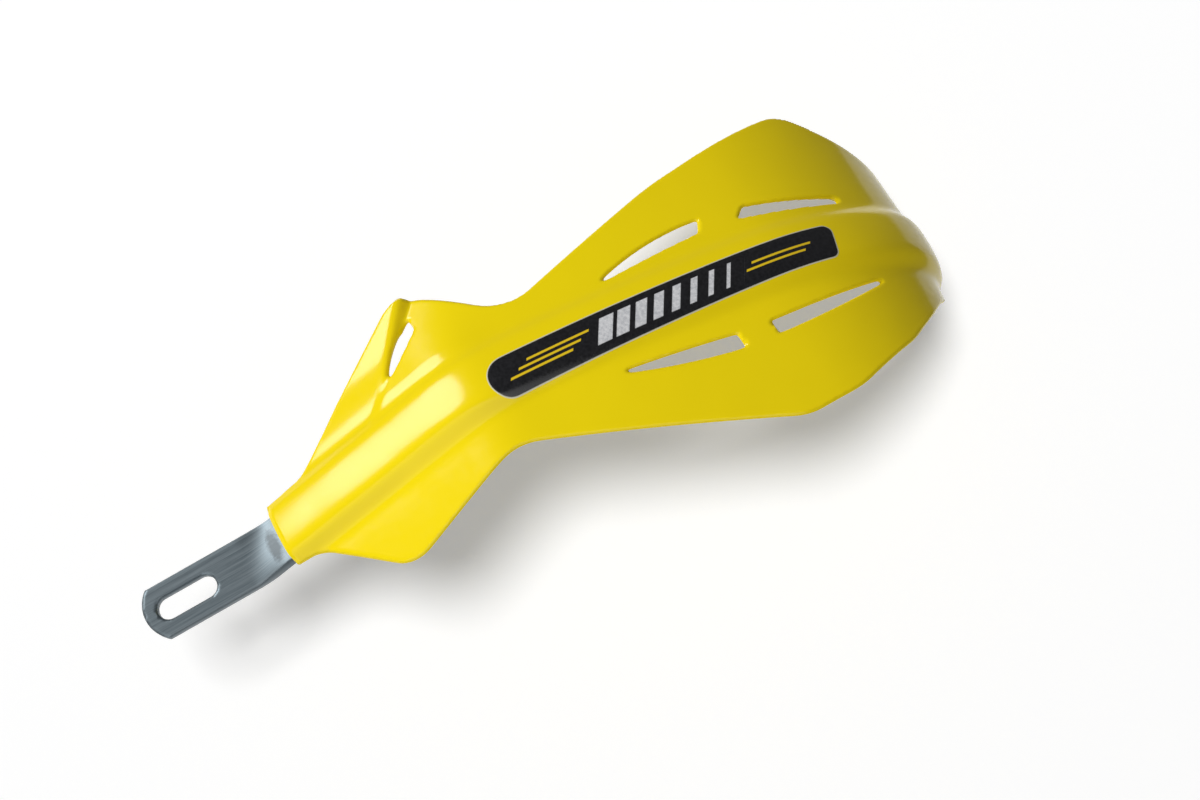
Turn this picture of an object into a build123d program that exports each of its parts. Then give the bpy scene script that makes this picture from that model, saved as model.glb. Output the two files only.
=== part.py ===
from build123d import *
import os
from math import cos, degrees, pi, radians, sin

# Left hand guard of a motorcycle, as mounted: X points outboard along the handlebar,
# -Y points forward, Z points up. The origin is the middle of the bar-end bolt hole.

# Aluminium bar, lengths and bends measured at mid thickness
bar_width = 20.0
bar_thickness = 5.0
bar_edge_chamfer = 0.6
leg_length = 6.0
outer_bend_radius = 58.0
main_run_length = 117.0
waist_bend_radius = 50.0
waist_bend_angle = 29.0
inner_run_length = 78.0
twist_length = 16.0
twist_angle = 16.0
tab_bend_angle = 15.0
tab_length = 41.0
tab_end_radius = 13.0
bar_end_hole_radius = 4.25
slot_width = 8.5
slot_length = 24.0
slot_end_margin = 5.3

# Moulded shield: wall, place on the bar, and the plan curve of its crown
wall = 2.2
mouth_setback = 2.0
mouth_clearance = 1.7
leg_gap = 4.0
spine_spread_angle = 3.0
spine_waist_shift = 3.3
spine_waist_radius = 45.0
main_heading = 5.5
main_bow_angle = 9.0
shoulder_radius = 114.0
shoulder_angle = 31.5
end_radius = 52.0
end_angle = 46.0

# Section of the shield: the raised spine, and the fall of the lower flange at its rim
top_half = 9.5
foot_half = 14.5
upper_rise = 2.8
lower_rise = 4.5
top_crown = 0.8
crown_radius = 60.0
top_edge_radius = 8.0
foot_radius = 8.0
lower_flange_fall = 8.0

# Front outline of the shield: distance outboard of the mouth, height, corner radius
mouth_half_height = 13.2
upper_foot = (16.0, 14.5, 10.0)
upper_wing = (72.3, 50.8, 13.0)
upper_waist = (104.4, 22.5, 20.0)
lower_foot = (12.3, -14.7, 12.0)
lower_wing = (37.2, -41.4, 12.0)
lower_waist = (85.5, -27.7, 25.0)
# and distance inboard of the outer end, height, corner radius
upper_side = (103.7, 48.2, 150.0)
upper_peak = (38.1, 65.2, 17.0)
upper_end = (3.8, 39.4, 6.0)
lower_end = (6.2, -18.4, 4.0)
lower_hip = (38.4, -44.9, 40.0)
lower_side = (69.1, -58.6, 40.0)
lower_corner = (93.0, -61.6, 10.0)

# Air slots: along one bowed side from the narrow end to the wide one and back along
# the other, as distance inboard of the outer end and height
upper_inner_vent = (
    (136.0, 18.4), (116.7, 24.5), (92.7, 27.0),
    (95.2, 21.4), (115.7, 19.5), (136.0, 17.1),
)
upper_outer_vent = (
    (37.0, 18.0), (56.7, 18.8), (78.5, 21.3),
    (74.4, 25.8), (55.7, 23.2), (37.0, 20.9),
)
lower_inner_vent = (
    (145.0, -20.8), (123.7, -26.1), (101.8, -29.1),
    (102.4, -23.2), (121.7, -21.4), (145.0, -19.6),
)
lower_outer_vent = (
    (39.7, -20.4), (62.7, -26.3), (87.7, -28.7),
    (88.4, -23.2), (64.7, -22.0), (39.7, -19.0),
)
# and the slot of the upper wing, as distance outboard of the mouth and height
wing_vent = (
    (57.3, 23.8), (63.8, 31.4), (71.9, 38.7),
    (72.1, 33.5), (65.4, 28.5), (58.1, 23.1),
)
vent_corner_radius = 0.4

# Ledge of the upper wing beside its slot, as distance along the spine and height
ledge_height = 2.0
ledge_foot = (59.5, 17.5)
ledge_head = (85.5, 44.5)
ledge_ramp = 16.0
ledge_step_angle = 30.0

# Screws from behind, their washers and the bosses that take them
screw_radius = 2.5
screw_head_radius = 4.6
screw_head_height = 3.2
screw_head_chamfer = 1.5
screw_bite = 6.0
screw_hole_clearance = 0.25
washer_radius = 6.0
washer_thickness = 1.0
boss_radius = 5.5
boss_clearance = 0.05
boss_tip_gap = 0.6
inner_screw_from_waist = 12.0
middle_screw_from_waist = 22.0
outer_screw_from_bend = 12.0

# Sticker on the spine, its inner end lower than its outer one
sticker_thickness = 0.15
sticker_before_waist = 2.0
sticker_length = 144.5
sticker_end_slant = 4.0
sticker_inner_drop = 5.0
sticker_outer_drop = 1.8
sticker_half_width = 8.2
sticker_outer_half_width = 7.5
sticker_inner_radius = 8.0
sticker_outer_radius = 3.5

# Length of the cutting tools, longer than anything they cut
reach = main_run_length + inner_run_length


def smooth(share):
    return (1 - cos(pi * share)) / 2


def front_of(direction):
    return Vector(-direction.Y, direction.X)


# Plan path of the bar, from the rounded end past the bolt hole to the clamp tab
leg = Line((0, bar_width / 2), (0, -leg_length))
outer_bend = JernArc(leg @ 1, leg % 1, outer_bend_radius, -90)
main_run = Line(outer_bend @ 1, outer_bend @ 1 + outer_bend % 1 * main_run_length)
waist_bend = JernArc(main_run @ 1, main_run % 1, waist_bend_radius, -waist_bend_angle)
inner_run = Line(waist_bend @ 1, waist_bend @ 1 + waist_bend % 1 * inner_run_length)
tab_bend = JernArc(inner_run @ 1, inner_run % 1, twist_length / radians(tab_bend_angle), tab_bend_angle)


def bar_section(place, along, turn):
    across = Plane(place, x_dir=(0, 0, 1), z_dir=along)
    flat = Rectangle(bar_width, bar_thickness)
    return across * Rot(0, 0, turn) * chamfer(flat.vertices(), bar_edge_chamfer)


# Bar: the bent run, then a twist that turns the clamp tab, then the tab itself
bar = sweep(bar_section(leg @ 0, leg % 0, 0), Wire([leg, outer_bend, main_run, waist_bend, inner_run]))
twist_steps = 6
twist_sections = []
for step in range(twist_steps + 1):
    share = step / twist_steps
    twist_sections.append(bar_section(tab_bend @ share, tab_bend % share, -twist_angle * smooth(share)))
bar += loft(Sketch() + twist_sections)
bar += extrude(twist_sections[-1], tab_length)

# Rounded end with the bar-end hole
leg_plane = Plane((0, 0, 0), x_dir=(0, 0, 1), z_dir=(1, 0, 0))
leg_end = Rectangle(2 * bar_width, bar_width, align=(Align.CENTER, Align.MAX)) - Circle(bar_width / 2)
bar -= extrude(leg_plane * leg_end, bar_thickness, both=True)
bar -= leg_plane * Cylinder(bar_end_hole_radius, 2 * bar_thickness)

# Clamp tab: rounded tip and adjusting slot
tab_across = Plane(tab_bend @ 1, x_dir=(0, 0, 1), z_dir=tab_bend % 1)
tab_turned = Plane(tab_across.location * Rot(0, 0, -twist_angle))
tab_flat = Plane(tab_turned.origin, x_dir=tab_turned.z_dir, z_dir=tab_turned.y_dir)
tab_tip = Rectangle(bar_width, 2 * bar_width, align=(Align.MIN, Align.CENTER)) - Circle(tab_end_radius)
bar -= extrude(tab_flat * Pos(tab_length - tab_end_radius, 0) * tab_tip, bar_thickness, both=True)
slot_centre = tab_length - slot_end_margin - slot_length / 2
slot = tab_flat * Pos(slot_centre, 0) * SlotOverall(slot_length, slot_width)
bar -= extrude(slot, bar_thickness, both=True)

# Plan line of the spine's crown, from the mouth to the outer end
inner_heading = waist_bend_angle + spine_spread_angle
mouth = inner_run @ 1 - inner_run % 1 * mouth_setback
mouth += front_of(inner_run % 1) * (bar_thickness / 2 + mouth_clearance + wall)
outboard = Vector(cos(radians(inner_heading)), -sin(radians(inner_heading)))
crown_inner = Line(mouth, mouth + outboard * (inner_run_length - mouth_setback + spine_waist_shift))
crown_waist = JernArc(crown_inner @ 1, crown_inner % 1, spine_waist_radius, inner_heading - main_heading)
end_x = bar_thickness / 2 + leg_gap + wall
shoulder_heading = main_bow_angle - main_heading
end_heading = shoulder_heading + shoulder_angle
tip_heading = end_heading + end_angle
shoulder_x = shoulder_radius * (sin(radians(end_heading)) - sin(radians(shoulder_heading)))
tip_x = end_radius * (sin(radians(tip_heading)) - sin(radians(end_heading)))
bow_x = end_x - tip_x - shoulder_x - (crown_waist @ 1).X
bow_radius = bow_x / (sin(radians(shoulder_heading)) + sin(radians(main_heading)))
crown_main = JernArc(crown_waist @ 1, crown_waist % 1, bow_radius, main_bow_angle)
crown_shoulder = JernArc(crown_main @ 1, crown_main % 1, shoulder_radius, shoulder_angle)
crown_end = JernArc(crown_shoulder @ 1, crown_shoulder % 1, end_radius, end_angle)


# A section sketch has X up and Y forward, with its origin on the crown line
mouth_plane = Plane(mouth, x_dir=(0, 0, 1), z_dir=outboard)


def along_crown(section):
    body = extrude(mouth_plane * section, crown_inner.length)
    for bend in (crown_waist, crown_main, crown_shoulder, crown_end):
        start = Plane(bend @ 0, x_dir=(0, 0, 1), z_dir=bend % 0) * section
        body += revolve(start, Axis(bend.arc_center, (0, 0, 1)), degrees(bend.length / bend.radius))
    return body


# Shell of the shield: a raised spine between two flanges
skin_half_height = upper_peak[1] + wall
upper_foot_depth = top_crown + upper_rise
lower_foot_depth = top_crown + lower_rise
profile = FilletPolyline(
    (-skin_half_height, -lower_foot_depth - lower_flange_fall),
    (-foot_half, -lower_foot_depth),
    (-top_half, -top_crown),
    (0, 0),
    (top_half, -top_crown),
    (foot_half, -upper_foot_depth),
    (skin_half_height, -upper_foot_depth),
    radius=[foot_radius, top_edge_radius, crown_radius, top_edge_radius, foot_radius],
)
shield = along_crown(make_face(offset(profile, wall, side=Side.RIGHT)))

# Ledge of the upper wing: it rises towards the rim and steps down beside the slot,
# with the same step at the back so that the wall stays even
ahead = Vector(outboard.Y, -outboard.X)
wing_plane = Plane(mouth - ahead * upper_foot_depth, x_dir=outboard, z_dir=ahead)
ledge_profile = Polyline(
    (ledge_foot[1], -wall / 2),
    (ledge_foot[1], 0),
    (ledge_foot[1] + ledge_ramp, ledge_height),
    (skin_half_height, ledge_height),
    (skin_half_height, -wall / 2),
    close=True,
)
ledge_region = Polyline(
    (0, 0),
    ledge_foot,
    ledge_head,
    (ledge_head[0], skin_half_height + reach),
    (0, skin_half_height + reach),
    close=True,
)
ledge = extrude(mouth_plane * Pos(0, -upper_foot_depth) * make_face(ledge_profile), reach)
ledge_front = wing_plane * Pos(0, 0, -wall) * make_face(ledge_region)
ledge &= extrude(ledge_front, 2 * wall + ledge_height, taper=ledge_step_angle)
shield -= Pos(ahead * -wall) * ledge
shield += ledge


# Front outline and air slots, cut straight through from the front
def from_mouth(corner):
    return (mouth.X + corner[0], corner[1])


def from_end(corner):
    return (end_x - corner[0], corner[1])


below_inner = [lower_foot, lower_wing, lower_waist]
below_outer = [lower_corner, lower_side, lower_hip, lower_end]
above_outer = [upper_end, upper_peak, upper_side]
above_inner = [upper_waist, upper_wing, upper_foot]
outline_points = [(mouth.X - wall, -mouth_half_height)]
outline_points += [from_mouth(corner) for corner in below_inner]
outline_points += [from_end(corner) for corner in below_outer]
outline_points += [(end_x + foot_half, lower_end[1]), (end_x + foot_half, upper_end[1])]
outline_points += [from_end(corner) for corner in above_outer]
outline_points += [from_mouth(corner) for corner in above_inner]
outline_points += [(mouth.X - wall, mouth_half_height)]
outline_radii = [0] + [corner[2] for corner in below_inner + below_outer] + [0, 0]
outline_radii += [corner[2] for corner in above_outer + above_inner] + [0]
outline = make_face(FilletPolyline(outline_points, radius=outline_radii, close=True))
shield &= extrude(Plane.XZ * outline, reach)


def vent(points):
    one_side = ThreePointArc(*points[:3])
    other_side = ThreePointArc(*points[3:])
    ends = [Line(points[2], points[3]), Line(points[5], points[0])]
    opening = make_face([one_side, other_side] + ends)
    return extrude(Plane.XZ * fillet(opening.vertices(), vent_corner_radius), reach)


for points in (upper_inner_vent, upper_outer_vent, lower_inner_vent, lower_outer_vent):
    shield -= vent([from_end(point) for point in points])
shield -= vent([from_mouth(point) for point in wing_vent])

# Screws, each square to the bar, forward through a washer and the bar into a boss
inner_place = inner_run @ 0 + inner_run % 0 * inner_screw_from_waist
middle_place = main_run @ 1 - main_run % 1 * middle_screw_from_waist
outer_place = main_run @ 0 + main_run % 0 * outer_screw_from_bend
screw_planes = [
    Plane(inner_place, x_dir=(0, 0, 1), z_dir=front_of(inner_run % 0)),
    Plane(middle_place, x_dir=(0, 0, 1), z_dir=front_of(main_run % 0)),
    Plane(outer_place, x_dir=(0, 0, 1), z_dir=front_of(main_run % 0)),
]
base = (Align.CENTER, Align.CENTER, Align.MIN)
seat = bar_thickness / 2
shank_length = washer_thickness + bar_thickness + screw_bite
head_place = Pos(0, 0, -seat - washer_thickness - screw_head_height)
head = Cylinder(screw_head_radius, screw_head_height, align=base)
head = chamfer(head.edges().group_by(Axis.Z)[0], screw_head_chamfer)
shank = Cylinder(screw_radius, shank_length, align=base)
screw = head_place * head + Pos(0, 0, -seat - washer_thickness) * shank
washer = Cylinder(washer_radius, washer_thickness, align=base)
washer -= Cylinder(screw_radius + screw_hole_clearance, washer_thickness, align=base)
washer = Pos(0, 0, -seat - washer_thickness) * washer
core_depth = min(spine_waist_radius, end_radius) / 2
core = along_crown(Pos(0, -wall / 2 - core_depth / 2) * Rectangle(2 * top_half, core_depth))
screws = []
washers = []
for plane in screw_planes:
    bar -= plane * Cylinder(screw_radius + screw_hole_clearance, 2 * bar_thickness)
    shield += (plane * Pos(0, 0, seat) * Cylinder(boss_radius, core_depth, align=base)) & core
    pilot = Cylinder(screw_radius + boss_clearance, screw_bite + boss_tip_gap, align=base)
    shield -= plane * Pos(0, 0, seat) * pilot
    screws.append(plane * screw)
    washers.append(plane * washer)

# Sticker, a thin layer on the crown
sticker_x = (crown_waist @ 1).X - sticker_before_waist
sticker_end_x = sticker_x + sticker_length
sticker_outline = FilletPolyline(
    (sticker_x, -sticker_inner_drop - sticker_half_width),
    (sticker_end_x - sticker_end_slant, -sticker_outer_drop - sticker_outer_half_width),
    (sticker_end_x, -sticker_outer_drop + sticker_outer_half_width),
    (sticker_x, -sticker_inner_drop + sticker_half_width),
    radius=[sticker_inner_radius, sticker_outer_radius, sticker_outer_radius, sticker_inner_radius],
    close=True,
)
sticker = along_crown(make_face(offset(profile, sticker_thickness, side=Side.LEFT)))
sticker &= extrude(Plane.XZ * make_face(sticker_outline), reach)

os.makedirs("parts", exist_ok=True)
export_step(shield, "parts/shield.step")
export_step(bar, "parts/aluminium_bar.step")
export_step(Compound(children=screws), "parts/shield_screws.step")
export_step(Compound(children=washers), "parts/screw_washers.step")
export_step(sticker, "parts/spine_sticker.step")
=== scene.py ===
import bmesh
import bpy
import numpy as np
from mathutils import Matrix, Vector


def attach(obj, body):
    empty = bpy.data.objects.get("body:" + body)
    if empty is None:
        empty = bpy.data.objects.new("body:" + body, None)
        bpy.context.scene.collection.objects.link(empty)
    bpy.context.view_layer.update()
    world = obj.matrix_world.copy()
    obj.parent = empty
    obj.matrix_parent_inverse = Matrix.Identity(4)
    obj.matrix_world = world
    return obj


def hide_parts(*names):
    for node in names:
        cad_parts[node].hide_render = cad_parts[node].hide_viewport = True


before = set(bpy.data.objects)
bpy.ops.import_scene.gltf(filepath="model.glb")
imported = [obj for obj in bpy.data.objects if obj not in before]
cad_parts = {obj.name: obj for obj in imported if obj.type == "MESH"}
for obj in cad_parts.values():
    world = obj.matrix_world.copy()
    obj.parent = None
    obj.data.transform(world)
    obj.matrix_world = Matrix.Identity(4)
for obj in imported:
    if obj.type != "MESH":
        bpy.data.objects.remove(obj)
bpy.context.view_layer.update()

print("frame loaded, nodes:", ", ".join(sorted(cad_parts)))

# lengths of the pieces are in millimetres, and addPiece turns them to metres
metresPerMm = 0.001
weldReach = 1e-6  # in metres
fineStep = 0.05  # spacing of the points along a plan line
tiny = 1e-9
rad = np.radians


# smooth max(x, 0): width times log(1 + exp(x / width))
def softRamp(x, width):
    return width * np.logaddexp(0.0, x / width)


# 0 below low and 1 above high, level at both ends: t * t * (3 - 2 t)
def softStep(x, low, high):
    t = np.clip((x - low) / (high - low), 0.0, 1.0)
    return t * t * (3.0 - 2.0 * t)


# closed line through corners (x, y, radius), an arc touching both sides in place of each corner
def roundedLine(corners, steps=9):
    c = np.array(corners, float)
    p, radius = c[:, :2], c[:, 2:]
    back = np.roll(p, 1, 0) - p
    ahead = np.roll(p, -1, 0) - p
    back /= np.linalg.norm(back, axis=1)[:, None]
    ahead /= np.linalg.norm(ahead, axis=1)[:, None]
    half = np.arccos((back * ahead).sum(1))[:, None] / 2
    middle = back + ahead
    middle /= np.linalg.norm(middle, axis=1)[:, None]
    centre = p + middle * radius / np.sin(half)
    first = p + back * radius / np.tan(half) - centre
    last = p + ahead * radius / np.tan(half) - centre
    turn = (np.pi - 2 * half)[:, None]
    t = np.linspace(0, 1, steps)[None, :, None]
    arc = np.sin((1 - t) * turn) * first[:, None] + np.sin(t * turn) * last[:, None]
    return (centre[:, None] + arc / np.sin(turn)).reshape(-1, 2)


# circle through three points: the centre solves two equal-distance equations
def circleThrough(a, b, c):
    centre = np.linalg.solve(2 * np.array([b - a, c - a]), np.array([b @ b - a @ a, c @ c - a @ a]))
    return centre, np.hypot(*(a - centre))


# distance to a closed line, positive inside: nearest side, signed by a crossing count
def insideDistance(line, x, y):
    nearest = np.full(x.shape, np.inf)
    inside = np.zeros(x.shape, bool)
    for (ax, ay), (bx, by) in zip(line, np.roll(line, -1, 0)):
        ex, ey = bx - ax, by - ay
        if ex * ex + ey * ey < tiny:
            continue
        t = np.clip(((x - ax) * ex + (y - ay) * ey) / (ex * ex + ey * ey), 0, 1)
        nearest = np.minimum(nearest, (x - ax - t * ex) ** 2 + (y - ay - t * ey) ** 2)
        inside ^= ((ay > y) != (by > y)) & (x < ax + (y - ay) * ex / (ey if ey else tiny))
    return np.sqrt(nearest) * np.where(inside, 1, -1)


# grid cut along the zero line of a field: points within nearShare of a cell are drawn onto the line, cells
# inside stay, and a cell with one corner outside keeps its inner half
# returns u, v, rim distance, quads and triangles
def trimGrid(u, v, field, nearShare=0.55, drawSteps=3, leastSquare=1e-4, leastSlope=0.05):
    gridU, gridV = np.meshgrid(u, v, indexing="ij")
    stepU, stepV = u[1] - u[0], v[1] - v[0]
    f = field(gridU, gridV)
    slopeU, slopeV = np.gradient(f, u, v)
    slope2 = np.maximum((slopeU * stepU) ** 2 + (slopeV * stepV) ** 2, leastSquare)
    near = np.abs(f) < nearShare * np.sqrt(slope2)
    value = f
    for step in range(drawSteps):  # each step moves a point along the slope by the field's value there
        if step:
            value = field(gridU, gridV)
        gridU = gridU - np.where(near, value * slopeU * stepU ** 2 / slope2, 0)
        gridV = gridV - np.where(near, value * slopeV * stepV ** 2 / slope2, 0)
    level = np.where(near, 0.0, f / np.maximum(np.hypot(slopeU, slopeV), leastSlope)).ravel()
    index = np.arange(f.size).reshape(f.shape)
    corner = np.stack([index[:-1, :-1], index[1:, :-1], index[1:, 1:], index[:-1, 1:]], -1).reshape(-1, 4)
    height = level[corner]
    whole = (height >= 0).all(1) & ((height > 0).any(1) | (f.ravel()[corner].mean(1) > 0))
    quads = corner[whole]
    halves = []
    for k in range(4):
        ring = [(k + 1) % 4, (k + 2) % 4, (k + 3) % 4]
        cut = (height[:, k] < 0) & (height[:, ring] >= 0).all(1) & (height[:, ring[1]] > 0)
        halves.append(corner[cut][:, ring])
    tris = np.concatenate(halves)
    used = np.unique(np.concatenate([quads.ravel(), tris.ravel()]))
    renumber = np.zeros(f.size, int)
    renumber[used] = np.arange(len(used))
    return gridU.ravel()[used], gridV.ravel()[used], level[used], renumber[quads], renumber[tris]


# plate on the surface place(u, v): front and back faces along its normal, each rolled in at the rim
# by a quarter circle of that radius, and a wall between the two rims; returns points, faces and their (u, v)
def plate(trimmed, place, front, back, rim, aside=0.05):
    u, v, edge, quads, tris = trimmed
    along = place(u + aside, v) - place(u - aside, v)
    across = place(u, v + aside) - place(u, v - aside)
    normal = np.cross(along, across)
    normal /= np.linalg.norm(normal, axis=1)[:, None]
    away = rim - np.clip(edge, 0, rim)
    drop = rim - np.sqrt(rim ** 2 - away ** 2)
    middle = place(u, v)
    points = np.concatenate([middle + normal * (front - drop)[:, None], middle + normal * (back + drop)[:, None]])
    n = len(u)
    start = np.concatenate([quads.ravel(), tris.ravel()])
    stop = np.concatenate([np.roll(quads, -1, 1).ravel(), np.roll(tris, -1, 1).ravel()])
    rimEdge = ~np.isin(start * n + stop, stop * n + start)
    a, b = start[rimEdge], stop[rimEdge]
    wall = np.stack([b, a, a + n, b + n], 1)
    faces = quads.tolist() + tris.tolist() + (quads[:, ::-1] + n).tolist() + (tris[:, ::-1] + n).tolist()
    return points, faces + wall.tolist(), np.concatenate([np.stack([u, v], 1)] * 2)


# turned piece: radius and height along a profile, carried round an axis; hexShare bends a ring from
# round to six-sided, and a closed profile joins its last ring to its first
def turned(radius, height, hexShare, origin, axis, closed=False, rounds=48):
    angle = np.arange(rounds) * 2 * np.pi / rounds
    sixSided = 1 / np.cos((angle + np.pi / 6) % (np.pi / 3) - np.pi / 6)
    r = np.array(radius, float)[:, None] * (1 + np.array(hexShare, float)[:, None] * (sixSided - 1)[None])
    side = np.cross(axis, (0, 0, 1.0))
    up = np.cross(side, axis)
    ring = np.cos(angle)[:, None] * side + np.sin(angle)[:, None] * up
    rise = np.array(height, float)[:, None, None] * np.array(axis)
    points = np.array(origin) + rise + r[..., None] * ring[None]
    index = np.arange(r.size).reshape(r.shape)
    rows = np.concatenate([index, index[:1]]) if closed else index
    turn = np.roll(rows, -1, 1)
    faces = np.stack([rows[:-1], rows[1:], turn[1:], turn[:-1]], -1).reshape(-1, 4).tolist()
    caps = [] if closed else [index[0].tolist(), index[-1][::-1].tolist()]
    return points.reshape(-1, 3), faces + caps


# several shapes as one list of points and one of faces
def joined(parts):
    points, faces, count = [], [], 0
    for p, f in parts:
        points.append(p)
        faces += [[k + count for k in face] for face in f]
        count += len(p)
    return np.concatenate(points), faces


# smooth mesh with its maps, edges above sharpAngle kept sharp; it stands for a node, whose part it hides
def addPiece(name, points, faces, slotName, node, sharpAngle, maps=None):
    mesh = bpy.data.meshes.new(name)
    mesh.from_pydata((np.asarray(points) * metresPerMm).tolist(), [], faces)
    mesh.polygons.foreach_set("use_smooth", np.ones(len(mesh.polygons), bool))
    corner = np.zeros(len(mesh.loops), int)
    mesh.loops.foreach_get("vertex_index", corner)
    for layer, values in (maps or {}).items():
        mesh.uv_layers.new(name=layer).data.foreach_set("uv", values[corner].astype(np.float32).ravel())
    weld = bmesh.new()  # rim points drawn onto the same place become one
    weld.from_mesh(mesh)
    bmesh.ops.remove_doubles(weld, verts=weld.verts, dist=weldReach)
    weld.to_mesh(mesh)
    weld.free()
    mesh.update()
    mesh.set_sharp_from_angle(angle=rad(sharpAngle))
    piece = bpy.data.objects.new(name, mesh)
    bpy.context.scene.collection.objects.link(piece)
    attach(piece, "root")
    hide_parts(node)
    print(name, "faces:", len(mesh.polygons))
    return piece


# Shield: fades and steps are (start, end) along the crown, up from it, or past the ledge's line

shieldShape = {
    "wall": 2.2, "rim": 0.95, "mouth": (-268.81, 26.48), "mouthHalf": 13.2, "endX": 8.7, "past": 20,
    "innerRun": 79.3, "innerHeading": 32.0, "waistRadius": 45.0, "mainHeading": 5.5, "bowAngle": 9.0,
    "shoulder": (114.0, 31.5), "end": (52.0, 46.0), "bendSoft": 3.0,
    "topHalf": 9.5, "footHalf": 14.5, "crown": 0.8, "upperRise": 2.8, "lowerRise": 4.5,
    "lowerFall": 8.0, "skinHalf": 67.4, "crownSoft": 3.0, "edgeSoft": 1.0, "lowerEdgeSoft": 1.2,
    "footDip": (0.30, 0.50), "footReach": 9.0, "dipFade": (110.0, 150.0), "mouthDipFade": (44.0, 64.0),
    "ledge": ((59.5, 17.5), (85.5, 44.5)), "ledgeHeight": 2.0, "ledgeRamp": 16.0, "ledgeStep": (-0.3, 1.8),
    "wingLean": 0.13, "wingPivot": 25.0, "leanFade": (-1.0, 4.0), "waistFade": (84.0, 112.0),
    "spineFade": (11.0, 19.0), "endFrom": 245.0, "endLift": 2.5, "endLean": 1.2, "endLeanHalf": 15.0,
    "ventBlend": 0.40, "gridStep": (1.0, 0.55), "gridPast": (1.5, 1.6), "gridHeight": (-65.0, 66.1),
}
# corners: distance outboard of the mouth or inboard of the outer end, height, radius
shieldBelow = [(12.3, -14.7, 12.0), (37.2, -41.4, 12.0), (85.5, -27.7, 25.0)]
shieldBelowOuter = [(93.0, -62.0, 24.0), (69.1, -58.6, 40.0), (38.4, -44.9, 40.0), (23.0, -33.6, 40.0),
                    (9.6, -21.4, 12.0), (4.2, -11.8, 2.0)]
shieldPastEnd = [(23.2, -11.8, 0.0), (23.2, 39.4, 0.0)]  # clear of the outer end, as plain x and height
shieldAboveOuter = [(3.8, 39.4, 6.0), (38.1, 65.2, 17.0), (103.7, 48.2, 150.0)]
shieldAbove = [(104.4, 22.5, 20.0), (72.6, 50.6, 13.0), (16.0, 14.5, 10.0)]
# air slots: three points along one bowed side, three back along the other
ventsOuter = [
    ((136.0, 18.4), (116.7, 24.5), (92.7, 27.0), (95.2, 21.4), (115.7, 19.5), (136.0, 17.1)),
    ((37.0, 18.0), (56.7, 18.8), (78.5, 21.3), (74.4, 25.8), (55.7, 23.2), (37.0, 20.9)),
    ((145.0, -20.8), (123.7, -26.1), (101.8, -29.1), (102.4, -23.2), (121.7, -21.4), (145.0, -19.6)),
    ((39.7, -20.4), (62.7, -26.3), (87.7, -28.7), (88.4, -23.2), (64.7, -22.0), (39.7, -19.0)),
]
ventWing = ((57.4, 24.1), (64.1, 32.0), (72.4, 39.6), (72.6, 34.3), (65.7, 29.0), (58.2, 23.4))

# plan line of the crown: its heading falls by soft ramps whose slopes add up to each bend's turn rate
g = shieldShape
bowStart = g["mouth"][0] + g["innerRun"] * np.cos(rad(g["innerHeading"])) + g["waistRadius"] * (
    np.sin(rad(g["innerHeading"])) - np.sin(rad(g["mainHeading"])))
headings = np.cumsum([-g["mainHeading"], g["bowAngle"], g["shoulder"][1], g["end"][1]])
sines = np.sin(rad(headings))
bowSpan = g["endX"] - g["end"][0] * (sines[3] - sines[2]) - g["shoulder"][0] * (sines[2] - sines[1]) - bowStart
bowRadius = bowSpan / (sines[1] - sines[0])
radii = np.array([g["waistRadius"], bowRadius, g["shoulder"][0], g["end"][0]])
turns = rad(np.array([g["innerHeading"] - g["mainHeading"], g["bowAngle"], g["shoulder"][1], g["end"][1]]))
stations = g["innerRun"] + np.concatenate([[0], np.cumsum(radii * turns)])
rates = np.diff(np.concatenate([[0], 1 / radii]))
crownEnd = stations[-1]
fineS = np.arange(-g["past"], crownEnd + g["past"], fineStep)
fineHeading = rad(g["innerHeading"]) - sum(
    rate * softRamp(fineS - station, g["bendSoft"]) for rate, station in zip(rates, stations[:-1]))
fineX = np.cumsum(np.cos(fineHeading)) * fineStep
fineD = np.cumsum(np.sin(fineHeading)) * fineStep
fineX += g["mouth"][0] - np.interp(0, fineS, fineX)
fineD += g["mouth"][1] - np.interp(0, fineS, fineD)


# depth of the section behind the crown: straight runs whose slopes change by soft ramps
def sectionDepth(z):
    topHalf, footHalf = g["topHalf"], g["footHalf"]
    soft, edge, lowerEdge = g["crownSoft"], g["edgeSoft"], g["lowerEdgeSoft"]
    topSlope = g["crown"] / topHalf
    upper = g["upperRise"] / (footHalf - topHalf)
    lower = g["lowerRise"] / (footHalf - topHalf)
    fall = g["lowerFall"] / (g["skinHalf"] - footHalf)
    depth = topSlope * (softRamp(z, soft) + softRamp(-z, soft) - 2 * soft * np.log(2.0))
    depth = depth + (upper - topSlope) * softRamp(z - topHalf, edge) - upper * softRamp(z - footHalf, edge)
    depth = depth + (lower - topSlope) * softRamp(-z - topHalf, lowerEdge)
    return depth - (lower - fall) * softRamp(-z - footHalf, edge)


# signed distance from the slanted line of the upper wing's ledge, positive on its inner side
def pastLedge(s, z):
    (s0, z0), (s1, z1) = g["ledge"]
    return ((z - z0) * (s1 - s0) - (s - s0) * (z1 - z0)) / np.hypot(s1 - s0, z1 - z0)


# ledge of the upper wing: a soft step across its line, growing from the spine towards the rim
def ledgeRise(s, z):
    z0 = g["ledge"][0][1]
    return g["ledgeHeight"] * softStep(z, z0, z0 + g["ledgeRamp"]) * softStep(pastLedge(s, z), *g["ledgeStep"])


# outboard of the ledge the upper wing leans back about its pivot height, faded out at the waist and the spine
def wingTilt(s, z):
    share = (1 - softStep(pastLedge(s, z), *g["leanFade"])) * (1 - softStep(s, *g["waistFade"]))
    return g["wingLean"] * (g["wingPivot"] - z) * (share * softStep(z, *g["spineFade"]))


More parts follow.
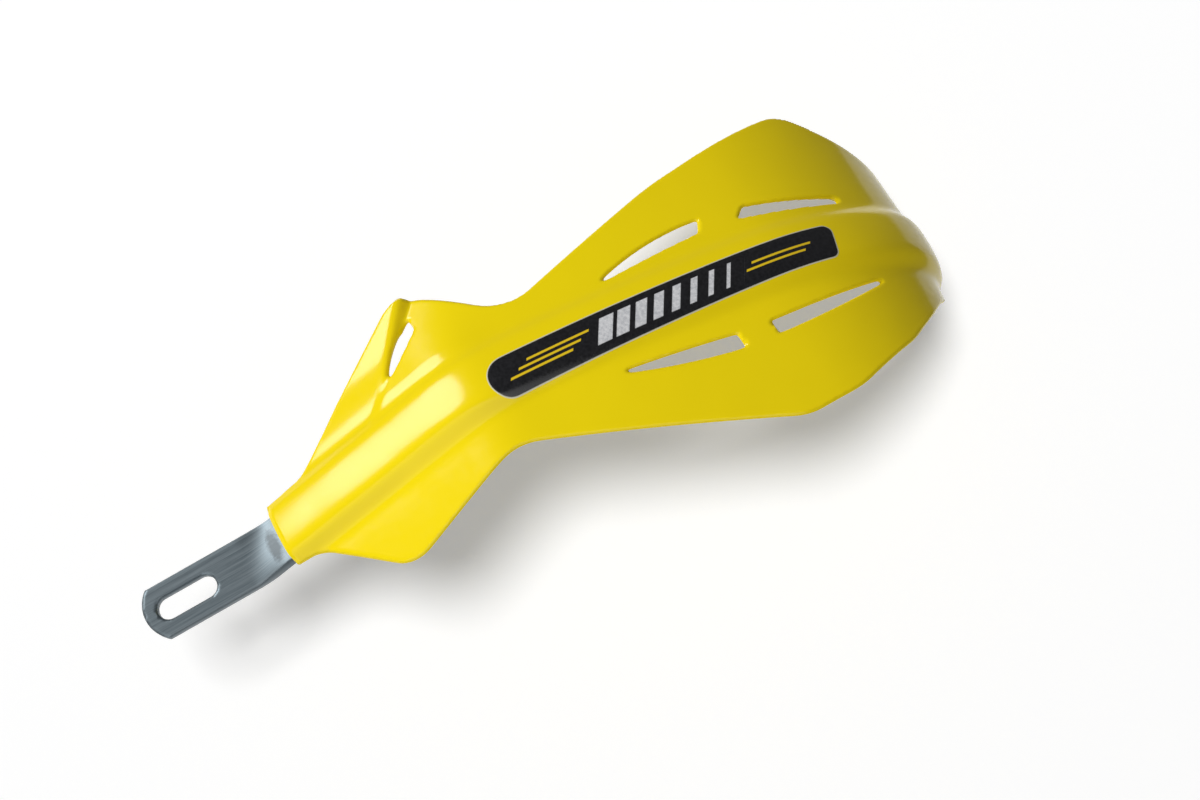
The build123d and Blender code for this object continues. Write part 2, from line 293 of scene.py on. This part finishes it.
# dip along the lower foot of the spine, dying out down the wing by an exponential; deeper by the mouth
def footDip(s, z):
    always, byMouth = g["footDip"]
    depth = always * (1 - softStep(s, *g["dipFade"])) + byMouth * (1 - softStep(s, *g["mouthDipFade"]))
    down = np.exp(-np.maximum(-z - g["footHalf"], 0) / g["footReach"])
    return depth * down * softStep(-z, g["topHalf"], g["footHalf"])


# front skin of the shield at distance s along the crown and height z: the plan line, moved out by the section
# and the forms above; the last of the spine lifts and leans out
def shieldSkin(s, z):
    heading = np.interp(s, fineS, fineHeading)
    last = softStep(s, g["endFrom"], crownEnd)
    lifted = z - g["endLift"] * last
    out = ledgeRise(s, z) + wingTilt(s, z) - footDip(s, z) - sectionDepth(lifted)
    lean = g["endLean"] * last * np.clip(lifted / g["endLeanHalf"], -1.0, 1.0)
    x = np.interp(s, fineS, fineX) - np.sin(heading) * out + lean
    d = np.interp(s, fineS, fineD) + np.cos(heading) * out
    return np.stack([x, -d, z], -1)


def fromMouth(corner):
    return (g["mouth"][0] + corner[0],) + tuple(corner[1:])


def fromEnd(corner):
    return (g["endX"] - corner[0],) + tuple(corner[1:])


mouthX = g["mouth"][0] - g["wall"]
shieldLine = [(mouthX, -g["mouthHalf"], 0.0)] + [fromMouth(c) for c in shieldBelow]
shieldLine += [fromEnd(c) for c in shieldBelowOuter] + shieldPastEnd
shieldLine += [fromEnd(c) for c in shieldAboveOuter] + [fromMouth(c) for c in shieldAbove]
shieldLine = roundedLine(shieldLine + [(mouthX, g["mouthHalf"], 0.0)])
ventPoints = [[fromEnd(q) for q in v] for v in ventsOuter] + [[fromMouth(q) for q in ventWing]]


# depth inside an air slot: the least of the distances in from its two arcs and two ends, blended at the corners
def ventDepth(points, x, z):
    p = np.array(points, float)
    middle = p.mean(0)
    sides = []
    for arc in (p[:3], p[3:]):
        centre, radius = circleThrough(*arc)
        inward = np.sign(np.hypot(*(middle - centre)) - radius)
        sides.append(inward * (np.hypot(x - centre[0], z - centre[1]) - radius))
    for first, last in ((p[2], p[3]), (p[5], p[0])):
        across = np.array([first[1] - last[1], last[0] - first[0]])
        across = across / np.hypot(*across) * np.sign((middle - first) @ across)
        sides.append((x - first[0]) * across[0] + (z - first[1]) * across[1])
    blend = g["ventBlend"]
    return -blend * np.logaddexp.reduce([-side / blend for side in sides])


# inside the outline, outside every air slot, between the mouth and the outer end
def shieldField(s, z):
    x = shieldSkin(s, z)[..., 0]
    field = np.minimum(insideDistance(shieldLine, x, z), np.minimum(s, crownEnd - s))
    for points in ventPoints:
        field = np.minimum(field, -ventDepth(points, x, z))
    return field


shieldS = np.arange(-g["gridPast"][0], crownEnd + g["gridPast"][1], g["gridStep"][0])
shieldGrid = trimGrid(shieldS, np.arange(*g["gridHeight"], g["gridStep"][1]), shieldField)
shieldPlate = plate(shieldGrid, shieldSkin, 0.0, -g["wall"], g["rim"])
print("shield plate points:", len(shieldPlate[0]))

# Bar: bends are radius and angle, the twist is length, bend and turn, the slot is length, width and end margin

barShape = {
    "width": 20.0, "thickness": 5.0, "edge": 0.7, "leg": 6.0, "outerBend": (58.0, 90.0), "mainRun": 117.0,
    "waistBend": (50.0, 29.0), "innerRun": 78.0, "twist": (16.0, 15.0, 16.0), "tab": 41.0, "tabRadius": 13.0,
    "endRadius": 7.6, "endTaper": 14.0, "holeRadius": 4.25, "slot": (24.0, 8.5, 5.3), "screwHole": 2.75,
    "screwsFromBends": (12.0, 22.0, 12.0), "bendSoft": 0.8, "past": 5,
    "gridStep": (0.7, 0.6), "gridPast": (1.0, 1.1), "gridWidth": (-10.8, 10.9), "sharpAngle": 40.0,
}
b = barShape
barRuns = np.cumsum([b["width"] / 2 + b["leg"], b["outerBend"][0] * rad(b["outerBend"][1]), b["mainRun"],
                     b["waistBend"][0] * rad(b["waistBend"][1]), b["innerRun"], b["twist"][0], b["tab"]])
barEnd = barRuns[-1]
outerFrom, middleFrom, innerFrom = b["screwsFromBends"]
screwStations = [barRuns[1] + outerFrom, barRuns[2] - middleFrom, barRuns[3] + innerFrom]

# plan line of the bar: each bend turns the heading evenly between its two stations, with soft ends
fineB = np.arange(-b["past"], barEnd + b["past"], fineStep)
barTurn = np.zeros_like(fineB)
for first, last, angle in ((0, 1, -b["outerBend"][1]), (2, 3, -b["waistBend"][1]), (4, 5, b["twist"][1])):
    span = barRuns[last] - barRuns[first]
    into, outOf = (softRamp(fineB - barRuns[k], b["bendSoft"]) for k in (first, last))
    barTurn += rad(angle) / span * (into - outOf)
barHeading = rad(-90.0) + barTurn  # it starts straight forward
barX = np.cumsum(np.cos(barHeading)) * fineStep
barY = np.cumsum(np.sin(barHeading)) * fineStep
barX -= np.interp(b["width"] / 2, fineB, barX)
barY -= np.interp(b["width"] / 2, fineB, barY)


# middle of the bar at distance s and width w: plan path, with the width turned through the twist
def barMiddle(s, w):
    heading = np.interp(s, fineB, barHeading)
    turn = rad(b["twist"][2]) * softStep(s, barRuns[4], barRuns[5])
    x = np.interp(s, fineB, barX) - w * np.sin(turn) * np.sin(heading)
    y = np.interp(s, fineB, barY) + w * np.sin(turn) * np.cos(heading)
    return np.stack([x, y, w * np.cos(turn)], -1)


# straight sides, round outer end, arc at the tab, and the holes and slot left open
def barField(s, w):
    half = b["width"] / 2
    field = b["endRadius"] + (half - b["endRadius"]) * softStep(s, half, half + b["endTaper"]) - np.abs(w)
    field = np.minimum(field, np.where(s < half, b["endRadius"] - np.hypot(s - half, w), field))
    field = np.minimum(field, b["tabRadius"] - np.hypot(np.maximum(s - barEnd + b["tabRadius"], 0), w))
    field = np.minimum(field, np.hypot(s - half, w) - b["holeRadius"])
    slotLength, slotWidth, slotMargin = b["slot"]
    slotMiddle = barEnd - slotMargin - slotLength / 2
    run = (slotLength - slotWidth) / 2
    field = np.minimum(field, np.hypot(np.maximum(np.abs(s - slotMiddle) - run, 0), w) - slotWidth / 2)
    for station in screwStations:
        field = np.minimum(field, np.hypot(s - station, w) - b["screwHole"])
    return field


barS = np.arange(-b["gridPast"][0], barEnd + b["gridPast"][1], b["gridStep"][0])
barGrid = trimGrid(barS, np.arange(*b["gridWidth"], b["gridStep"][1]), barField)
barPlate = plate(barGrid, barMiddle, b["thickness"] / 2, -b["thickness"] / 2, b["edge"])
barMaps = {"along": barPlate[2] * metresPerMm}
bar = addPiece("bar", barPlate[0], barPlate[1], "aluminium_bar", "aluminium_bar", b["sharpAngle"], barMaps)

# Screws, washers and the bosses that take them: dome is radius and depth from the head's top,
# flare is what the boss widens by and how far short of its reach

screwShape = {
    "shank": 2.5, "head": 4.6, "height": 3.2, "bite": 6.0, "socket": 2.0, "socketDepth": 1.8,
    "drillPoint": (0.4, 0.3), "bevel": 0.15, "ease": 0.2, "dome": ((3.0, 0.06), (3.7, 0.45), (4.25, 1.15)),
    "headEdge": (2.1, 4.45), "shankRoot": 2.6, "tip": (1.9, 0.6), "sharpAngle": 35.0,
    "washer": 6.0, "washerThickness": 1.0, "washerHole": 2.75,
    "boss": 5.5, "bossEdge": 0.4, "pilot": 2.55, "pilotEdge": 0.3, "pilotGap": (0.6, 0.4), "seatGap": 0.02,
    "flare": ((0.0, 3.2), (0.5, 1.7), (1.6, 0.4)), "sunkShare": 0.6, "bossSharpAngle": 50.0,
}
k = screwShape
bevel, ease, socket, shank = k["bevel"], k["ease"], k["socket"], k["shank"]
hole, rim, pilot, boss = k["washerHole"], k["washer"], k["pilot"], k["boss"]
seat = b["thickness"] / 2
under = -seat - k["washerThickness"]
top = under - k["height"]
floor = top + k["socketDepth"]
tip = seat + k["bite"]
screwParts, washerParts, bossParts = [], [], []
for station in screwStations:
    heading = np.interp(station, fineB, barHeading)
    place = barMiddle(station, 0.0)
    front = np.array([-np.sin(heading), np.cos(heading), 0.0])
    # socket floor, six-sided socket, domed head, underside, shank
    screwParts.append(turned(
        [k["drillPoint"][0], socket - bevel, socket, socket, socket + ease] + [r for r, depth in k["dome"]]
        + [k["head"], k["head"], k["headEdge"][1], k["shankRoot"], shank, shank, k["tip"][0]],
        [floor + k["drillPoint"][1], floor, floor - bevel, top + ease, top] + [top + depth for r, depth in k["dome"]]
        + [top + k["headEdge"][0], under - bevel, under, under, under + ease, tip - k["tip"][1], tip],
        [0, 1, 1, 1, 1] + [0] * 10, place, front))
    # ring profile: hole, back face, rim, front face
    washerParts.append(turned(
        [hole, hole, hole + bevel, rim - ease, rim, rim, rim - ease, hole + bevel],
        [-seat - bevel, under + bevel, under, under, under + ease, -seat - ease, -seat, -seat],
        [0] * 8, place, front, closed=True))
    # pilot hole, seat on the bar, outside, flare into the wall: the crown's nearest point gives the length
    offset = np.stack([fineX - place[0], -fineD - place[1]], 1)
    nearest = np.argmin(np.abs(offset @ np.array([-front[1], front[0]])))
    reach = (offset @ front[:2])[nearest] - k["sunkShare"] * g["wall"]
    face = seat + k["seatGap"]
    bossParts.append(turned(
        [k["drillPoint"][0], pilot - ease, pilot, pilot, pilot + k["pilotEdge"], boss - k["bossEdge"], boss]
        + [boss + wider for wider, short in k["flare"]],
        [tip + k["pilotGap"][0]] * 2 + [tip + k["pilotGap"][1], seat + k["pilotEdge"], face, face, seat + k["bossEdge"]]
        + [reach - short for wider, short in k["flare"]],
        [0] * 10, place, front))
screws = addPiece("screws", *joined(screwParts), "screws", "shield_screws", k["sharpAngle"])
washers = addPiece("washers", *joined(washerParts), "washers", "screw_washers", k["sharpAngle"])
shield = addPiece("moulding", *joined([shieldPlate[:2]] + bossParts), "shield", "shield", k["bossSharpAngle"])

# Sticker: pairs are for the inner and the outer end

stickerShape = {"start": -184.03, "length": 144.5, "slant": 4.0, "drop": (5.0, 1.8), "half": (8.2, 7.5),
                "radius": (8.0, 3.5), "thickness": 0.15, "sunk": 0.3, "rim": 0.1, "past": 2,
                "gridStep": (0.8, 0.5), "gridHeight": (-15.0, 7.0), "sharpAngle": 40.0}
t = stickerShape
stickerEnd = t["start"] + t["length"]
stickerLine = roundedLine([
    (t["start"], -t["drop"][0] - t["half"][0], t["radius"][0]),
    (stickerEnd - t["slant"], -t["drop"][1] - t["half"][1], t["radius"][1]),
    (stickerEnd, -t["drop"][1] + t["half"][1], t["radius"][1]),
    (t["start"], -t["drop"][0] + t["half"][0], t["radius"][0])])


# inside the sticker's outline, seen from the front
def stickerField(s, z):
    return insideDistance(stickerLine, shieldSkin(s, z)[..., 0], z)


stickerS = np.interp([t["start"] - t["past"], stickerEnd + t["past"]], fineX, fineS)
stickerHeights = np.arange(*t["gridHeight"], t["gridStep"][1])
stickerGrid = trimGrid(np.arange(*stickerS, t["gridStep"][0]), stickerHeights, stickerField)
stickerPlate = plate(stickerGrid, shieldSkin, t["thickness"], -t["sunk"], t["rim"])
# maps in centimetres: along the sticker and across it from its middle line, and the distance in from its edge
cmPerMm = 0.1
stickerAlong, stickerAcross = stickerPlate[2].T
middleLine = np.interp(stickerAlong, stickerS, [-drop for drop in t["drop"]])
stickerMaps = {"along": np.stack([stickerAlong - stickerS[0], stickerAcross - middleLine], 1) * cmPerMm,
               "inset": np.stack([np.tile(stickerGrid[2], 2), stickerAcross], 1) * cmPerMm}
sticker = addPiece("sticker", *stickerPlate[:2], "sticker", "spine_sticker", t["sharpAngle"], stickerMaps)

# Materials


# a node with its inputs or settings filled in by name
def newNode(tree, kind, **values):
    node = tree.nodes.new(kind)
    for name, value in values.items():
        if name in node.inputs:
            node.inputs[name].default_value = value
        else:
            setattr(node, name, value)
    return node


def newMaterial(name, **values):
    material = bpy.data.materials.new(name)
    material.use_nodes = True
    shader = material.node_tree.nodes["Principled BSDF"]
    for socket, value in values.items():
        shader.inputs[socket].default_value = value
    return material, material.node_tree, shader


def mapRange(tree, source, low, high, toLow, toHigh):
    node = newNode(tree, "ShaderNodeMapRange")
    for slot, value in zip(("From Min", "From Max", "To Min", "To Max"), (low, high, toLow, toHigh)):
        node.inputs[slot].default_value = value
    tree.links.new(source, node.inputs["Value"])
    return node.outputs["Result"]


# sockets 6 and 7 of a Mix node are its colours, and output 2 the mixed one
def mixColour(tree, factor, first, second):
    node = newNode(tree, "ShaderNodeMix", data_type="RGBA")
    for slot, value in ((6, first), (7, second)):
        if isinstance(value, tuple):
            node.inputs[slot].default_value = value
        else:
            tree.links.new(value, node.inputs[slot])
    tree.links.new(factor, node.inputs[0])
    return node.outputs[2]


# one Math node; each side is a socket or a number
def reckon(tree, operation, first, second=0.0, clamp=False):
    node = newNode(tree, "ShaderNodeMath", operation=operation, use_clamp=clamp)
    for slot, value in ((0, first), (1, second)):
        if isinstance(value, (int, float)):
            node.inputs[slot].default_value = value
        else:
            tree.links.new(value, node.inputs[slot])
    return node.outputs["Value"]


# 1 where a value lies between two limits, with a soft edge, else 0
def between(tree, value, low, high, soft=0.012):
    rise = mapRange(tree, value, low - soft, low + soft, 0.0, 1.0)
    return reckon(tree, "MULTIPLY", rise, mapRange(tree, value, high - soft, high + soft, 1.0, 0.0))


# relief of a height, laid over the normal below it if there is one
def addBump(tree, height, strength, distance, below=None, invert=False):
    node = newNode(tree, "ShaderNodeBump", Strength=strength, Distance=distance, invert=invert)
    tree.links.new(height, node.inputs["Height"])
    if below is not None:
        tree.links.new(below, node.inputs["Normal"])
    return node.outputs["Normal"]


# grain is a fine three-octave noise; marks are thin hairlines where two stretched noises pass a limit
marksShape = {"turns": ((0.2, 0.5, 0.6), (0.9, -0.3, 2.1)), "stretch": (25.0, 900.0, 900.0), "gain": 14.0}


def fineMarksGroup():
    tree = bpy.data.node_groups.new("fineMarks", "ShaderNodeTree")
    for name, way, kind in (("Vector", "INPUT", "Vector"), ("Grain Scale", "INPUT", "Float"),
                            ("Mark Limit", "INPUT", "Float"), ("Grain", "OUTPUT", "Float"),
                            ("Marks", "OUTPUT", "Float")):
        tree.interface.new_socket(name, in_out=way, socket_type="NodeSocket" + kind)
    entry, leave = tree.nodes.new("NodeGroupInput"), tree.nodes.new("NodeGroupOutput")
    grain = newNode(tree, "ShaderNodeTexNoise", Detail=3.0, Roughness=0.6)
    tree.links.new(entry.outputs["Vector"], grain.inputs["Vector"])
    tree.links.new(entry.outputs["Grain Scale"], grain.inputs["Scale"])
    tree.links.new(grain.outputs["Fac"], leave.inputs["Grain"])
    lines = []
    for turn in marksShape["turns"]:
        placing = newNode(tree, "ShaderNodeMapping", Rotation=turn, Scale=marksShape["stretch"])
        stretched = newNode(tree, "ShaderNodeTexNoise", Scale=1.0, Detail=1.0)
        tree.links.new(entry.outputs["Vector"], placing.inputs["Vector"])
        tree.links.new(placing.outputs["Vector"], stretched.inputs["Vector"])
        over = reckon(tree, "SUBTRACT", stretched.outputs["Fac"], entry.outputs["Mark Limit"])
        lines.append(reckon(tree, "MULTIPLY", over, marksShape["gain"], clamp=True))
    tree.links.new(reckon(tree, "MAXIMUM", *lines), leave.inputs["Marks"])
    return tree


fineMarks = fineMarksGroup()
grainSpan = (0.3, 0.7)  # nearly all of the grain's values lie in it


def objectCoords(tree):
    return newNode(tree, "ShaderNodeTexCoord").outputs["Object"]


# the group placed in a material with that finish's values
def addMarks(tree, shape):
    marks = tree.nodes.new("ShaderNodeGroup")
    marks.node_tree = fineMarks
    marks.inputs["Grain Scale"].default_value = shape["grainScale"]
    marks.inputs["Mark Limit"].default_value = shape["markLimit"]
    tree.links.new(objectCoords(tree), marks.inputs["Vector"])
    return marks.outputs["Grain"], marks.outputs["Marks"]


# the three channels of one of the piece's own maps
def splitMap(tree, name):
    place = newNode(tree, "ShaderNodeSeparateXYZ")
    uv = newNode(tree, "ShaderNodeUVMap", uv_map=name).outputs["UV"]
    tree.links.new(uv, place.inputs["Vector"])
    return uv, place.outputs


# glossy yellow moulding: slow colour drift, a long moulded wave, fine grain in the gloss, a few hairlines
# each relief is strength and distance
yellow = {"colour": (0.90, 0.70, 0.002, 1), "deep": (0.87, 0.66, 0.002, 1), "roughness": (0.13, 0.20), "ior": 1.34,
          "driftScale": 9.0, "driftSpan": (0.35, 0.7), "waveScale": 38.0, "waveRelief": (1.0, 0.0004),
          "grainScale": 420.0, "markLimit": 0.76, "markRelief": (0.04, 0.0001)}
plastic, tree, shader = newMaterial("yellowPlastic", **{"IOR": yellow["ior"]})
grain, marks = addMarks(tree, yellow)
coords = objectCoords(tree)
drift = newNode(tree, "ShaderNodeTexNoise", Scale=yellow["driftScale"], Detail=2.0)
wave = newNode(tree, "ShaderNodeTexNoise", Scale=yellow["waveScale"], Detail=1.0)
tree.links.new(coords, drift.inputs["Vector"])
tree.links.new(coords, wave.inputs["Vector"])
share = mapRange(tree, drift.outputs["Fac"], *yellow["driftSpan"], 0.0, 1.0)
tree.links.new(mixColour(tree, share, yellow["colour"], yellow["deep"]), shader.inputs["Base Color"])
tree.links.new(mapRange(tree, grain, *grainSpan, *yellow["roughness"]), shader.inputs["Roughness"])
ripple = addBump(tree, wave.outputs["Fac"], *yellow["waveRelief"])
tree.links.new(addBump(tree, marks, *yellow["markRelief"], below=ripple), shader.inputs["Normal"])
shield.data.materials.append(plastic)

# flat bar, brushed along its length: noise stretched along the bar's own map, fine strokes and broader bands;
# by the mouth a darker oval of painted shade, standing in for the shading of a pressed dent, whose ring is the distance
# from its middle in half widths, roughened by the grain
metal = {"colour": (0.114, 0.143, 0.160, 1), "light": (0.205, 0.240, 0.258, 1), "roughness": (0.42, 0.53),
         "strokes": (((45.0, 2600.0, 1.0), 0.6), ((9.0, 700.0, 1.0), 0.4)), "strokeSpan": (0.36, 0.64),
         "strokeRelief": (0.3, 0.000006), "grainScale": 900.0, "markLimit": 0.70, "markRelief": (0.10, 0.0001),
         "dentShadeMiddle": (0.3296, -0.0010), "dentShadeHalf": (0.0026, 0.0064), "dentShadeColour": (0.06, 0.065, 0.068, 1),
         "dentShadeRing": (0.70, 1.25), "dentShadeStrength": 0.72, "dentShadeRagged": 0.2}
brushed, tree, shader = newMaterial("brushedAluminium", **{"Metallic": 1.0})
along, place = splitMap(tree, "along")
parts = []
for scale, weight in metal["strokes"]:
    placing = newNode(tree, "ShaderNodeMapping", Scale=scale)
    stroke = newNode(tree, "ShaderNodeTexNoise", Scale=1.0, Detail=3.0, Roughness=0.65)
    tree.links.new(along, placing.inputs["Vector"])
    tree.links.new(placing.outputs["Vector"], stroke.inputs["Vector"])
    parts.append(reckon(tree, "MULTIPLY", stroke.outputs["Fac"], weight))
strokes = reckon(tree, "ADD", *parts)
grain, marks = addMarks(tree, metal)
share = mapRange(tree, strokes, *metal["strokeSpan"], 0.0, 1.0)
colour = mixColour(tree, share, metal["colour"], metal["light"])
# painted shade: this oval darkens the bar's colour by the mouth, in place of a pressed dent's shading
squares = []
for axis, middle, half in zip(("X", "Y"), metal["dentShadeMiddle"], metal["dentShadeHalf"]):
    off = reckon(tree, "DIVIDE", reckon(tree, "SUBTRACT", place[axis], middle), half)
    squares.append(reckon(tree, "POWER", reckon(tree, "ABSOLUTE", off), 2.0))
ring = reckon(tree, "SQRT", reckon(tree, "ADD", *squares))
ragged = mapRange(tree, grain, *grainSpan, -metal["dentShadeRagged"], metal["dentShadeRagged"])
paintedDentShade = mapRange(tree, reckon(tree, "ADD", ring, ragged), *metal["dentShadeRing"], metal["dentShadeStrength"], 0.0)
tree.links.new(mixColour(tree, paintedDentShade, colour, metal["dentShadeColour"]), shader.inputs["Base Color"])
tree.links.new(mapRange(tree, strokes, *metal["strokeSpan"], *metal["roughness"]), shader.inputs["Roughness"])
relief = addBump(tree, strokes, *metal["strokeRelief"])
tree.links.new(addBump(tree, marks, *metal["markRelief"], below=relief, invert=True), shader.inputs["Normal"])
bar.data.materials.append(brushed)

# bright plated steel of the screws and washers
steel = {"colour": (0.50, 0.51, 0.53, 1), "light": (0.66, 0.66, 0.65, 1), "roughness": (0.25, 0.42),
         "grainScale": 700.0, "markLimit": 0.68, "grainRelief": (0.1, 0.0001)}
plated, tree, shader = newMaterial("platedSteel", **{"Metallic": 1.0})
grain = addMarks(tree, steel)[0]
tree.links.new(mixColour(tree, grain, steel["colour"], steel["light"]), shader.inputs["Base Color"])
tree.links.new(mapRange(tree, grain, *grainSpan, *steel["roughness"]), shader.inputs["Roughness"])
tree.links.new(addBump(tree, grain, *steel["grainRelief"]), shader.inputs["Normal"])
screws.data.materials.append(plated)
washers.data.materials.append(plated)

# black vinyl with a cut pale edge, slanted silver bars that thin out and yellow pinstripes; sizes in centimetres
vinylShape = {
    "black": ((0.005, 0.005, 0.006, 1), (0.013, 0.013, 0.015, 1)), "edge": (0.62, 0.60, 0.45, 1),
    "silver": ((0.50, 0.51, 0.53, 1), (0.72, 0.72, 0.73, 1)), "yellow": (0.80, 0.55, 0.01, 1), "ior": 1.5,
    "slant": 0.55, "bars": (4.6, 10.6), "pitch": 0.75, "widest": 0.86, "thinnest": 0.16, "barHalf": 0.47,
    "barEdges": (0.02, 0.04), "stripeHalf": 0.045, "edgeFade": (0.03, 0.055), "roughness": (0.16, 0.26),
    # first and last place along, and height
    "stripes": ((1.7, 4.2, 0.22), (1.4, 3.9, 0.0), (1.1, 3.6, -0.22), (10.9, 13.4, 0.12), (10.7, 13.2, -0.12)),
    "grainScale": 900.0, "markLimit": 0.72, "inkSpan": (0.35, 0.65), "markRelief": (0.05, 0.0001),
}
v = vinylShape
vinyl, tree, shader = newMaterial("blackVinyl", **{"IOR": v["ior"]})
place, inset = splitMap(tree, "along")[1], splitMap(tree, "inset")[1]
across = place["Y"]
leaning = reckon(tree, "SUBTRACT", place["X"], reckon(tree, "MULTIPLY", across, v["slant"]))
inCell = reckon(tree, "FRACT", reckon(tree, "DIVIDE", reckon(tree, "SUBTRACT", leaning, v["bars"][0]), v["pitch"]))
fill = mapRange(tree, leaning, *v["bars"], v["widest"], v["thinnest"])
ending, starting = v["barEdges"]
silver = mapRange(tree, reckon(tree, "SUBTRACT", fill, inCell), -ending, ending, 0.0, 1.0)
for limit in (mapRange(tree, inCell, 0.0, starting, 0.0, 1.0), between(tree, leaning, *v["bars"]),
              between(tree, across, -v["barHalf"], v["barHalf"])):
    silver = reckon(tree, "MULTIPLY", silver, limit)
stripes = None
for first, last, height in v["stripes"]:
    line = between(tree, across, height - v["stripeHalf"], height + v["stripeHalf"])
    line = reckon(tree, "MULTIPLY", line, between(tree, leaning, first, last))
    stripes = line if stripes is None else reckon(tree, "MAXIMUM", stripes, line)
grain, marks = addMarks(tree, v)
ink = mapRange(tree, grain, *v["inkSpan"], 0.0, 1.0)
colour = mixColour(tree, silver, mixColour(tree, ink, *v["black"]), mixColour(tree, ink, *v["silver"]))
colour = mixColour(tree, stripes, colour, v["yellow"])
colour = mixColour(tree, mapRange(tree, inset["X"], *v["edgeFade"], 1.0, 0.0), colour, v["edge"])
tree.links.new(colour, shader.inputs["Base Color"])
tree.links.new(mapRange(tree, grain, *grainSpan, *v["roughness"]), shader.inputs["Roughness"])
tree.links.new(addBump(tree, marks, *v["markRelief"]), shader.inputs["Normal"])
sticker.data.materials.append(vinyl)
print("materials done")

# Stage, in metres: pale floor square to the camera behind the guard, soft lamps, camera
# the floor ends just outside the picture on the right and at the top

stageShape = {
    "behind": 0.050, "floorAcross": (-3.0, 0.130), "floorUp": (-3.0, 0.134),
    "paper": (0.90, 0.90, 0.90, 1), "paperRoughness": 0.9, "glow": 0.266,
    "air": (0.97, 0.98, 1.0, 1), "airLevel": 0.155, "middle": (-0.155, -0.07, 0.0),
    "cameraPlace": (-0.3983, -0.9258, -0.5231), "lens": 86.07, "sensor": 36.0,
    "right": (0.8949, 0.0, -0.4462), "up": (0.3742, -0.5446, 0.7506),
}
# toward is the way to the lamp as right, up and back towards the camera in the picture
lampShapes = {
    "softbox": {"toward": (-0.757, 0.505, 0.415), "distance": 3.0, "size": 1.46, "level": 0.70, "lights": "guard"},
    "bounce": {"toward": (-0.10, -0.55, 0.83), "distance": 3.0, "size": 5.20, "level": 0.56, "lights": "guard"},
    "overFloor": {"toward": (-0.10, 0.125, 1.0), "distance": 3.5, "size": 0.76, "level": 0.725, "lights": "floor"},
}

right = Vector(stageShape["right"]).normalized()
backward = right.cross(Vector(stageShape["up"])).normalized()  # from the guard towards the camera
upward = backward.cross(right)
rest = backward * -stageShape["behind"]
(left, far), (low, high) = stageShape["floorAcross"], stageShape["floorUp"]
corners = [rest + right * across + upward * rise
           for across, rise in ((left, low), (far, low), (far, high), (left, high))]
floorMesh = bpy.data.meshes.new("floor")
floorMesh.from_pydata([tuple(corner) for corner in corners], [], [(0, 1, 2, 3)])
floorPiece = bpy.data.objects.new("floor", floorMesh)
bpy.context.scene.collection.objects.link(floorPiece)

# the floor is white paper; what the camera, metal and glass see of it is lifted to white, and it is clear from behind
paper, tree, shader = newMaterial("paleFloor", **{
    "Base Color": stageShape["paper"], "Roughness": stageShape["paperRoughness"], "Specular IOR Level": 0.0})
path = tree.nodes.new("ShaderNodeLightPath")
seen = path.outputs["Is Camera Ray"]
for ray in ("Is Glossy Ray", "Is Transmission Ray"):
    seen = reckon(tree, "MAXIMUM", seen, path.outputs[ray])
glow = newNode(tree, "ShaderNodeEmission", Color=(1, 1, 1, 1))
lit = tree.nodes.new("ShaderNodeAddShader")
clear = tree.nodes.new("ShaderNodeBsdfTransparent")
sides = tree.nodes.new("ShaderNodeMixShader")
facing = tree.nodes.new("ShaderNodeNewGeometry")
for source, target in (
        (reckon(tree, "MULTIPLY", seen, stageShape["glow"]), glow.inputs["Strength"]),
        (shader.outputs["BSDF"], lit.inputs[0]), (glow.outputs["Emission"], lit.inputs[1]),
        (facing.outputs["Backfacing"], sides.inputs[0]), (lit.outputs["Shader"], sides.inputs[1]),
        (clear.outputs["BSDF"], sides.inputs[2]),
        (sides.outputs["Shader"], tree.nodes["Material Output"].inputs["Surface"])):
    tree.links.new(source, target)
floorMesh.materials.append(paper)

world = bpy.data.worlds.new("studio")
bpy.context.scene.world = world
world.use_nodes = True
world.node_tree.nodes["Background"].inputs["Color"].default_value = stageShape["air"]
world.node_tree.nodes["Background"].inputs["Strength"].default_value = stageShape["airLevel"]


# a disk lamp lights a surface facing it to its level:
# power is pi squared x level x (distance squared + radius squared)
def addLamp(name, shape, receivers):
    light = bpy.data.lights.new(name, "AREA")
    light.shape = "DISK"
    light.size = shape["size"]
    light.energy = np.pi ** 2 * shape["level"] * (shape["distance"] ** 2 + shape["size"] ** 2 / 4)
    lamp = bpy.data.objects.new(name, light)
    bpy.context.scene.collection.objects.link(lamp)
    across, rise, back = shape["toward"]
    toward = (right * across + upward * rise + backward * back).normalized()
    place = Vector(stageShape["middle"]) + toward * shape["distance"]
    lamp.matrix_world = Matrix.Translation(place) @ toward.to_track_quat("Z", "Y").to_matrix().to_4x4()
    lamp.light_linking.receiver_collection = receivers


# two lamps light the guard alone, and one the floor alone, which casts the guard's shadow there
receivers = {"guard": bpy.data.collections.new("guardLit"), "floor": bpy.data.collections.new("floorLit")}
receivers["floor"].objects.link(floorPiece)
for piece in (bar, screws, washers, shield, sticker):
    receivers["guard"].objects.link(piece)
for name, shape in lampShapes.items():
    addLamp(name, shape, receivers[shape["lights"]])

camera = bpy.data.cameras.new("camera")
camera.lens = stageShape["lens"]
camera.sensor_width = stageShape["sensor"]
cameraPiece = bpy.data.objects.new("camera", camera)
bpy.context.scene.collection.objects.link(cameraPiece)
turnMatrix = Matrix((right, upward, backward)).transposed().to_4x4()
cameraPiece.matrix_world = Matrix.Translation(Vector(stageShape["cameraPlace"])) @ turnMatrix
bpy.context.scene.camera = cameraPiece
bpy.context.scene.view_settings.view_transform = "Standard"

print("scene done")
